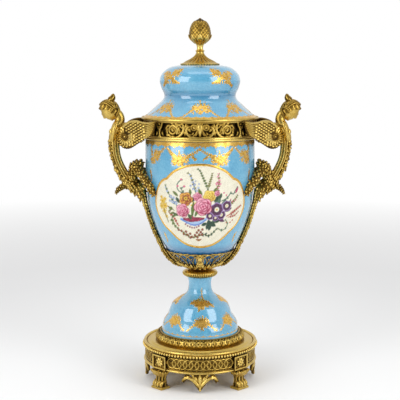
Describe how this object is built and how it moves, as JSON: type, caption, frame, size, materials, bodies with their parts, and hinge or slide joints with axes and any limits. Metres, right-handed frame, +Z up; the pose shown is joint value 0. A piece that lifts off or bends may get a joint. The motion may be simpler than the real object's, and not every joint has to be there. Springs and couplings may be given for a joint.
{
  "type": "mantel urn",
  "caption": "Tall covered urn: pale blue porcelain vase, lid and foot in gilt bronze mounts, with winged-bust handles, pierced gallery and paw feet.",
  "frame": {"origin": "middle of the four feet, on the surface that the urn stands on", "axes": "+Z up through the vase, -Y the front with the painted panel, X through the two handles"},
  "size_m": [0.3124, 0.1804, 0.562],
  "materials": {
    "gilt_bronze": "cast bronze, chased and gilt, satin, with dark brown patina in the recesses",
    "polished_bronze": "turned and polished gilt bronze",
    "blue_porcelain": "glossy sky blue glaze on white porcelain",
    "gilding": "fired raised gold on the glaze, burnished",
    "painted_reserve": "cream glazed reserve painted with a basket of flowers, glossy"
  },
  "bodies": {
    "root": {"base_drum": "gilt_bronze", "paw_foot_front_right": "gilt_bronze", "paw_foot_back_right": "gilt_bronze", "paw_foot_back_left": "gilt_bronze", "paw_foot_front_left": "gilt_bronze", "apron_palmette_front": "gilt_bronze", "apron_palmette_right": "gilt_bronze", "apron_palmette_back": "gilt_bronze", "apron_palmette_left": "gilt_bronze", "socle_plate": "polished_bronze", "laurel_ring": "gilt_bronze", "porcelain_foot": "blue_porcelain", "fluted_collar": "gilt_bronze", "calyx": "gilt_bronze", "vase_body": "blue_porcelain", "gallery": "gilt_bronze", "lid": "blue_porcelain", "pine_cone_finial": "gilt_bronze", "handle_right": "gilt_bronze", "handle_left": "gilt_bronze"}
  },
  "joints": []
}
